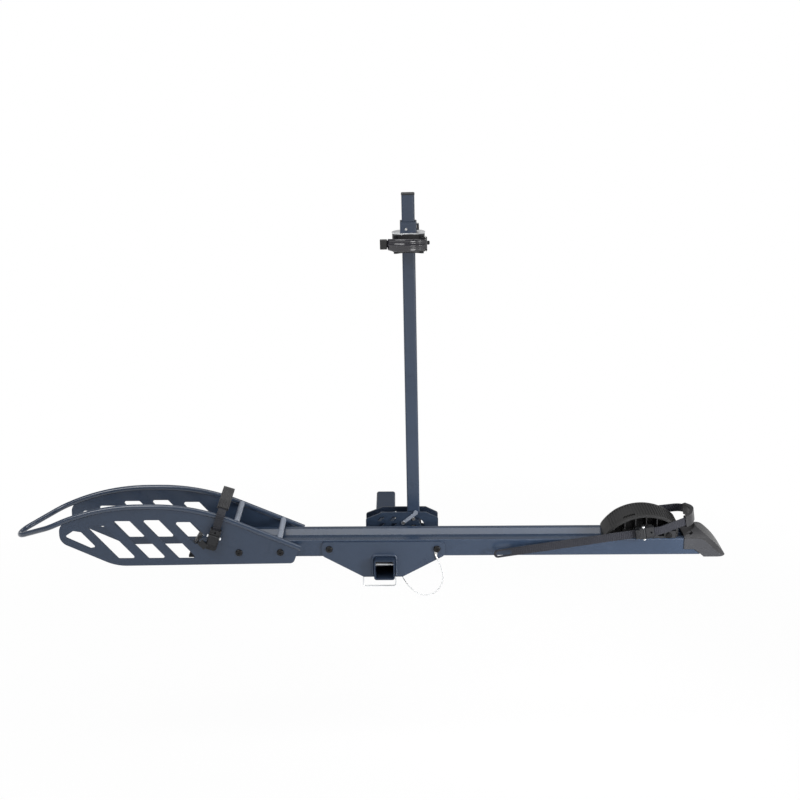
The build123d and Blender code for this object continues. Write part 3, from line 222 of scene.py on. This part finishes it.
def surface(name, colour, rough, grain, bump, metal=0.0, specular=0.5, coat=0.0, mottle=0.12,
            wear_and_highlight=0.25, glint=0.012, rough_spread=0.08, ribs=None):
    """A finish with cloudy colour, fine grain and softened edges, whose edges are painted lighter,
    partly as wear and partly as painted highlight.

    Ribs are a direction, a pitch and a height.
    """
    graph = Graph(name)
    cloud = graph.noise(scale=14.0, detail=4.0, rough=0.6)
    fine = graph.noise(scale=grain, detail=2.0, rough=0.55)
    specks = graph.noise(scale=grain * SPECK_SCALE, detail=2.0)
    patches = graph.noise(scale=90.0, detail=3.0)

    shade = graph.spread(cloud, MIDTONES, (0.0, 1.0))
    base = graph.mix(shade, scaled(colour, 1 - mottle), scaled(colour, 1 + mottle))
    speck = graph.spread(specks, SPECK_RANGE, (0.0, SPECK_SHARE))
    base = graph.mix(speck, base, scaled(colour, 1 + SPECK_LIFT * mottle))

    bevel = graph.add("ShaderNodeBevel", {"Radius": EDGE_RADIUS}, samples=EDGE_SAMPLES)
    soft = bevel.outputs["Normal"]
    sharp = graph.add("ShaderNodeNewGeometry").outputs["Normal"]
    # Painted highlight and wear on the edges: their colour is lifted lighter, in patches
    worn_and_highlit_edge = graph.spread(graph.dot(soft, sharp), EDGE_RANGE, (0.0, wear_and_highlight))
    worn_and_highlit_edge = graph.math("MULTIPLY", worn_and_highlit_edge, graph.spread(patches, EDGE_PATCH_RANGE, EDGE_PATCH_SHARE))
    light = tuple(min(1.0, c * EDGE_LIFT + glint) for c in colour)
    graph.link(graph.mix(worn_and_highlit_edge, base, light), "Base Color")

    cloud_rough = graph.spread(cloud, MIDTONES, (rough - rough_spread, rough + rough_spread))
    fine_rough = graph.spread(fine, MIDTONES, FINE_ROUGHNESS)
    graph.link(graph.math("ADD", cloud_rough, fine_rough), "Roughness")

    relief = graph.bump(bump, GRAIN_DEPTH, fine, soft)
    if ribs:
        direction, pitch, height = ribs
        turns = graph.math("MULTIPLY", graph.dot(graph.spot, direction), 2 * pi / pitch)
        relief = graph.bump(1.0, height, graph.math("SINE", turns), relief)
    graph.link(relief, "Normal")

    graph.shader.inputs["Metallic"].default_value = metal
    graph.shader.inputs["Specular IOR Level"].default_value = specular
    graph.shader.inputs["Coat Weight"].default_value = coat
    graph.shader.inputs["Coat Roughness"].default_value = COAT_ROUGHNESS
    return graph.material


FRONT_LEAN = radians(18)  # of the front strap's run, from upright
REAR_TILT = radians(7.9)  # of the rear strap's tail, from level
ALONG_FRONT = (sin(FRONT_LEAN), 0, cos(FRONT_LEAN))
ACROSS_FRONT = (cos(FRONT_LEAN), 0, -sin(FRONT_LEAN))
ALONG_REAR = (cos(REAR_TILT), 0, sin(REAR_TILT))
STRAP_PITCH = 0.0045
STRAP_HEIGHT = 0.0002
SLEEVE_PITCH = 0.0072
SLEEVE_HEIGHT = 0.0011
SLATE = srgb(42, 55, 74)

SLOT_FINISHES = {
    "slate_coat": dict(
        colour=SLATE, rough=0.34, grain=1500, bump=0.14, specular=0.42, coat=0.1, mottle=0.06,
        glint=0.04,
    ),
    "black_steel": dict(
        colour=srgb(9, 9, 11), rough=0.2, grain=2500, bump=0.04, specular=0.3, wear_and_highlight=0.1,
    ),
    "bright_zinc": dict(
        colour=srgb(226, 228, 230), rough=0.3, grain=1800, bump=0.06, metal=0.7, wear_and_highlight=0.0,
    ),
    "zinc_steel": dict(
        colour=srgb(188, 188, 186), rough=0.34, grain=1500, bump=0.08, metal=1.0, wear_and_highlight=0.0,
    ),
    "black_nylon": dict(
        colour=srgb(27, 28, 31), rough=0.5, grain=2600, bump=0.22, specular=0.38, mottle=0.08,
        wear_and_highlight=0.2,
    ),
    "gloss_black": dict(
        colour=srgb(36, 35, 41), rough=0.19, grain=900, bump=0.03, coat=0.45, wear_and_highlight=0.1,
        rough_spread=0.04,
    ),
    "strap_grey": dict(
        colour=srgb(35, 36, 42), rough=0.44, grain=2000, bump=0.18, specular=0.2, mottle=0.08,
        wear_and_highlight=0.2, ribs=(ALONG_REAR, STRAP_PITCH, STRAP_HEIGHT),
    ),
    "black_rubber": dict(
        colour=srgb(34, 34, 36), rough=0.6, grain=2200, bump=0.3, mottle=0.1, wear_and_highlight=0.1,
    ),
    "grey_cable": dict(
        colour=srgb(196, 198, 200), rough=0.3, grain=3000, bump=0.1, mottle=0.03, wear_and_highlight=0.0,
    ),
}

# Pieces whose finish differs a little from the rest of their slot; the spine tube and the mast
# plates are darker copies of the slate, as painted shade, and the cross bars a lighter copy, as
# painted highlight
PIECE_FINISHES = {
    "front_strap": dict(
        name="front_strap_ribs", colour=srgb(38, 39, 45), rough=0.44, grain=2000, bump=0.18,
        specular=0.25, mottle=0.08, wear_and_highlight=0.2, ribs=(ALONG_FRONT, STRAP_PITCH, STRAP_HEIGHT),
    ),
    "front_sleeve": dict(
        name="front_sleeve_ridges", colour=srgb(52, 52, 54), rough=0.46, grain=2200, bump=0.2,
        mottle=0.1, ribs=(ACROSS_FRONT, SLEEVE_PITCH, SLEEVE_HEIGHT),
    ),
    "rear_sleeve": dict(
        name="rear_sleeve_skin", colour=srgb(34, 34, 36), rough=0.4, grain=2200, bump=0.2,
        specular=0.35, mottle=0.1,
    ),
    "frame_block": dict(
        name="block_skin", colour=srgb(12, 12, 13), rough=0.5, grain=2600, bump=0.2,
        mottle=0.07, wear_and_highlight=0.1,
    ),
    "wheel_hoop": dict(
        name="rod_coat", colour=SLATE, rough=0.2, grain=1500, bump=0.08, coat=0.35, mottle=0.06,
    ),
    # The spine tube's coat is a darker copy of the slate: painted shade
    "spine_tube": dict(
        name="spine_painted_shade_coat", colour=srgb(34, 45, 62), rough=0.42, grain=1500, bump=0.14,
        specular=0.22, mottle=0.06,
    ),
    # The mast plates' coats are darker copies of the slate, the far one darkest: painted shade
    "mast_plate_near": dict(
        name="bracket_painted_shade_coat", colour=srgb(34, 46, 63), rough=0.32, grain=1500, bump=0.14,
        mottle=0.06,
    ),
    "mast_plate_far": dict(
        name="far_bracket_painted_shade_coat", colour=srgb(26, 35, 50), rough=0.34, grain=1500, bump=0.14,
        mottle=0.06,
    ),
    "mast_lock_lever": dict(
        name="lever_zinc", colour=srgb(150, 158, 172), rough=0.3, grain=1800, bump=0.06,
        metal=0.5, wear_and_highlight=0.0,
    ),
    "chock": dict(
        name="chock_skin", colour=srgb(24, 24, 25), rough=0.46, grain=2600, bump=0.22,
        specular=0.36, mottle=0.08, wear_and_highlight=0.35,
    ),
    "tray_channel": dict(
        name="tray_coat", colour=SLATE, rough=0.25, grain=1500, bump=0.1, specular=0.45,
        mottle=0.06, rough_spread=0.04,
    ),
    # The cross bars' coat is a lighter copy of the slate: painted highlight
    "cross_bars": dict(
        name="bar_painted_highlight_coat", colour=srgb(128, 136, 150), rough=0.3, grain=1500, bump=0.14, coat=0.3,
        mottle=0.06,
    ),
    "ramp_dome": dict(
        name="ramp_skin", colour=srgb(39, 39, 41), rough=0.42, grain=2600, bump=0.25,
        specular=0.36, mottle=0.07, wear_and_highlight=0.35,
    ),
    "ramp_skirt": dict(
        name="skirt_skin", colour=srgb(49, 50, 54), rough=0.46, grain=2600, bump=0.25,
        specular=0.35, mottle=0.07,
    ),
}

finishes = {slot: surface(slot, **settings) for slot, settings in SLOT_FINISHES.items()}
special = {node: surface(**settings) for node, settings in PIECE_FINISHES.items()}
record_slots = {entry["node"]: entry["material_slot"] for entry in frame["record"]["subparts"]}
for name, piece in nodes.items():
    piece.data.materials.clear()
    piece.data.materials.append(special.get(name, finishes[record_slots[name]]))
lanyard.data.materials.append(finishes["grey_cable"])


# Pieces finer than the solids: weld bead, grip and adjuster knob. Sizes are in millimetres,
# apart from the bead's own, which are in metres.

def mesh_piece(name, rings, body, slot):
    """A smooth skin over rings of points, capped at both ends."""
    count = len(rings[0])
    points = [tuple(point) for ring in rings for point in ring]
    faces = []
    for row in range(len(rings) - 1):
        first, second = row * count, (row + 1) * count
        for step in range(count):
            following = (step + 1) % count
            faces.append((first + step, first + following, second + following, second + step))
    faces.append(tuple(reversed(range(count))))
    faces.append(tuple(len(points) - count + step for step in range(count)))
    mesh = bpy.data.meshes.new(name)
    mesh.from_pydata(points, [], faces)
    form = bmesh.new()
    form.from_mesh(mesh)
    bmesh.ops.recalc_face_normals(form, faces=form.faces)
    form.to_mesh(mesh)
    form.free()
    for polygon in mesh.polygons:
        polygon.use_smooth = len(polygon.vertices) == 4
    piece = bpy.data.objects.new(name, mesh)
    scene.collection.objects.link(piece)
    mesh.materials.append(finishes[slot])
    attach(piece, body)


SADDLE_FACE = 55.0  # the near plate's face, from the tray's centre line
WELD_SINK = 0.6
WELD_REACH = 3.2  # from the tube's faces to the bead's middle
WELD_CORNER = 8.0
CORNER_STEPS = 6
BEAD_RADIUS = 0.0030
BEAD_RIPPLE = 0.22  # share of the radius
BEAD_PITCH = 0.0042
BEAD_FLAT = 0.75
BEAD_FACETS = 10
STEPS_PER_PITCH = 6


def bead_rings(path):
    """Rings of the rippled bead along a route, flattened towards the plate it lies on."""
    steps = []
    for start, end in zip(path, path[1:]):
        count = max(2, int((end - start).length / (BEAD_PITCH / STEPS_PER_PITCH)))
        steps += [start.lerp(end, number / count) for number in range(count)]
    steps.append(path[-1])
    rings = []
    travelled = 0.0
    for number, centre in enumerate(steps):
        before = steps[max(0, number - 1)]
        after = steps[min(len(steps) - 1, number + 1)]
        travelled += (centre - before).length
        heading = (after - before).normalized()
        out = Vector((0, -1, 0))
        side = heading.cross(out).normalized()
        swell = BEAD_RADIUS * (1 + BEAD_RIPPLE * abs(sin(pi * travelled / BEAD_PITCH)))
        ring = []
        for turn in range(BEAD_FACETS):
            angle = 2 * pi * turn / BEAD_FACETS
            ring.append(centre + side * cos(angle) * swell + out * sin(angle) * swell * BEAD_FLAT)
        rings.append(ring)
    return rings


def arc_points(centre, radius, start, end, level):
    """Points of an arc in the plane of a plate, angles from +X towards up."""
    points = []
    for number in range(CORNER_STEPS + 1):
        angle = radians(start + (end - start) * number / CORNER_STEPS)
        x = centre[0] + radius * cos(angle)
        points.append(place(x, level, centre[1] + radius * sin(angle)))
    return points


def spine_weld():
    """The weld bead that joins the spine tube to the near saddle plate."""
    level = -SADDLE_FACE - WELD_SINK
    reach = TUBE_HALF + WELD_REACH
    inner = WELD_REACH - WELD_CORNER
    path = [place(-reach, level, -2 * TUBE_HALF)]
    path += arc_points((-reach + WELD_CORNER, inner), WELD_CORNER, 180, 90, level)
    path += arc_points((reach - WELD_CORNER, inner), WELD_CORNER, 90, 0, level)
    path.append(place(reach, level, -2 * TUBE_HALF))
    mesh_piece("spine_weld", bead_rings(path), "rack", "slate_coat")


MAST_LEAN = radians(-0.8)
MAST_PIVOT = (73, 125, 18)


def on_mast(x, out, rise):
    """A place on the leaned mast: from its axis along the tray, across, and up from its pivot."""
    pivot_x, pivot_across, pivot_up = MAST_PIVOT
    along = pivot_x + x * cos(MAST_LEAN) + rise * sin(MAST_LEAN)
    up = pivot_up - x * sin(MAST_LEAN) + rise * cos(MAST_LEAN)
    return place(along, pivot_across + out, up)


GRIP_RISE = 729  # up the mast
GRIP_START = -46.5  # degrees about the mast, from the middle of its near side
GRIP_SWEEP = 80.5
GRIP_STEPS = 48  # along the sweep
GRIP_ROWS = 24  # across the outer face
GRIP_OUTER = 70.0  # with its ridges at most 71.9, or it touches the ramp when the mast folds
GRIP_INNER = 62.7
GRIP_HALF = 12.4  # half the width at the thin end
GRIP_SWELL = 3.6  # added to it at the widest place
SWELL_SPAN = (0.08, 0.9)  # start and length of the swell in half waves
SWELL_POWER = 0.7
RIDGE_HEIGHT = 0.9
MIDDLE_HEIGHT = 1.0  # of the broad rise under the ridges
BORDER_DROP = 3.4
BORDER_POWER = 5
INNER_ROWS = (1, 0.4, -0.4, -1)  # shares of the inner face's half width
INNER_INSET = 1.5


def lever_shell():
    """The swelling, ridged grip over the frame clamp's lever."""
    rings = []
    for step in range(GRIP_STEPS + 1):
        share = step / GRIP_STEPS
        turn = radians(GRIP_START + GRIP_SWEEP * share)
        swell = sin(pi * (SWELL_SPAN[0] + SWELL_SPAN[1] * share)) ** SWELL_POWER
        half = GRIP_HALF + GRIP_SWELL * swell
        ring = []
        for number in range(GRIP_ROWS + 1):
            v = -1 + 2 * number / GRIP_ROWS
            ridge = RIDGE_HEIGHT * cos(2 * pi * v) + MIDDLE_HEIGHT * (1 - v * v) * swell
            radius = GRIP_OUTER + ridge - BORDER_DROP * abs(v) ** BORDER_POWER
            ring.append(on_mast(radius * sin(turn), -radius * cos(turn), GRIP_RISE + half * v))
        x, out = GRIP_INNER * sin(turn), -GRIP_INNER * cos(turn)
        for v in INNER_ROWS:
            ring.append(on_mast(x, out, GRIP_RISE + (half - INNER_INSET) * v))
        rings.append(ring)
    mesh_piece("lever_shell", rings, "frame_tightener", "gloss_black")


KNOB_FOOT = (38.6, -22, 728)
KNOB_FACETS = 28
# Pairs of the distance from the foot and the radius
KNOB_PROFILE = [
    (0, 2.2), (4, 2.2), (5, 2.6), (6, 4.2), (7.5, 4.8), (10, 4.8), (11.5, 4.2), (12.2, 3.0),
    (12.4, 1.0),
]


def adjuster_knob():
    """The turned knob at the right end of the frame clamp."""
    start = on_mast(*KNOB_FOOT)
    axis = Vector((1, 0, 0))
    side = axis.orthogonal().normalized()
    other = axis.cross(side)
    rings = []
    for along, radius in KNOB_PROFILE:
        centre = start + axis * along / 1000
        ring = []
        for turn in range(KNOB_FACETS):
            angle = 2 * pi * turn / KNOB_FACETS
            ring.append(centre + (side * cos(angle) + other * sin(angle)) * radius / 1000)
        rings.append(ring)
    mesh_piece("adjuster_knob", rings, "carriage", "black_nylon")


spine_weld()
lever_shell()
adjuster_knob()


# Floor, backdrop and lights

FLOOR_REACH = 60.0
FLOOR_LEVEL = -0.46
FLOOR_GREY = 0.9
FLOOR_ROUGHNESS = 0.9
FLOOR_GLOW = 0.93  # share of plain white near the rack; the rest takes its shadow
SHADOW_FADE = (0.8, 1.8)  # metres from the floor's origin, under the rack
WORLD_LIGHT = 0.3
WORLD_SEEN = 1.0


def white_stage(name):
    """A white that the camera and reflections see, with a soft shadow left on it near the rack."""
    graph = Graph(name)
    rays = graph.add("ShaderNodeLightPath").outputs
    seen = graph.math("MAXIMUM", rays["Is Camera Ray"], rays["Is Glossy Ray"])
    seen = graph.math("MAXIMUM", seen, rays["Is Transmission Ray"])
    glow = graph.add("ShaderNodeEmission", {"Color": (1, 1, 1, 1), "Strength": 1.0})
    graph.shader.inputs["Base Color"].default_value = (FLOOR_GREY, FLOOR_GREY, FLOOR_GREY, 1)
    graph.shader.inputs["Roughness"].default_value = FLOOR_ROUGHNESS
    away = graph.add("ShaderNodeVectorMath", {0: graph.spot}, operation="LENGTH")
    share = graph.spread(away.outputs["Value"], SHADOW_FADE, (FLOOR_GLOW, 1.0))
    blend = graph.add("ShaderNodeMixShader", {0: graph.math("MULTIPLY", seen, share)})
    graph.tree.links.new(graph.shader.outputs[0], blend.inputs[1])
    graph.tree.links.new(glow.outputs[0], blend.inputs[2])
    output = graph.tree.nodes["Material Output"]
    graph.tree.links.new(blend.outputs[0], output.inputs["Surface"])
    return graph.material


floor_mesh = bpy.data.meshes.new("floor")
corners = [(-1, -1), (1, -1), (1, 1), (-1, 1)]
floor_mesh.from_pydata(
    [(FLOOR_REACH * x, FLOOR_REACH * y, 0) for x, y in corners], [], [(0, 1, 2, 3)]
)
floor = bpy.data.objects.new("floor", floor_mesh)
floor.location = (0, 0, FLOOR_LEVEL)
scene.collection.objects.link(floor)
floor_mesh.materials.append(white_stage("floor_white"))

# The backdrop is white to the camera and dimmer as a light.
world = bpy.data.worlds.new("studio")
scene.world = world
world.use_nodes = True
tree = world.node_tree
background = tree.nodes["Background"]
background.inputs["Color"].default_value = (1, 1, 1, 1)
rays = tree.nodes.new("ShaderNodeLightPath")
seen = tree.nodes.new("ShaderNodeMath")
seen.operation = "MAXIMUM"
tree.links.new(rays.outputs["Is Camera Ray"], seen.inputs[0])
tree.links.new(rays.outputs["Is Transmission Ray"], seen.inputs[1])
strength = tree.nodes.new("ShaderNodeMapRange")
strength.inputs["To Min"].default_value = WORLD_LIGHT
strength.inputs["To Max"].default_value = WORLD_SEEN
tree.links.new(seen.outputs[0], strength.inputs["Value"])
tree.links.new(strength.outputs["Result"], background.inputs["Strength"])

# Name, spot, aim, size, watts, and spread in degrees
LIGHTS = [
    ("key", (-1.8, -2.4, 2.8), (0, -0.3, 0.1), (2.4, 1.6), 60, 180),
    ("right", (1.7, -1.5, 0.45), (0.66, -0.42, 0.0), (0.8, 0.6), 5, 50),
    ("top", (0.2, -0.9, 3.2), (0.1, -0.35, 0), (3.6, 1.2), 52, 180),
    ("back", (-0.6, 2.6, 2.6), (0, -0.2, 0.2), (2.4, 1.0), 8, 180),
    ("front", (0.95, -3.0, 0.25), (0.06, -0.3, 0.75), (0.9, 0.5), 12, 180),
]

for name, spot, aim, size, watts, spread in LIGHTS:
    data = bpy.data.lights.new(name, "AREA")
    data.shape = "RECTANGLE"
    data.size, data.size_y = size
    data.energy = watts
    data.spread = radians(spread)
    light = bpy.data.objects.new(name, data)
    scene.collection.objects.link(light)
    heading = Vector(aim) - Vector(spot)
    facing = heading.to_track_quat("-Z", "Y").to_matrix().to_4x4()
    light.matrix_world = Matrix.Translation(spot) @ facing

scene.view_settings.view_transform = "Standard"
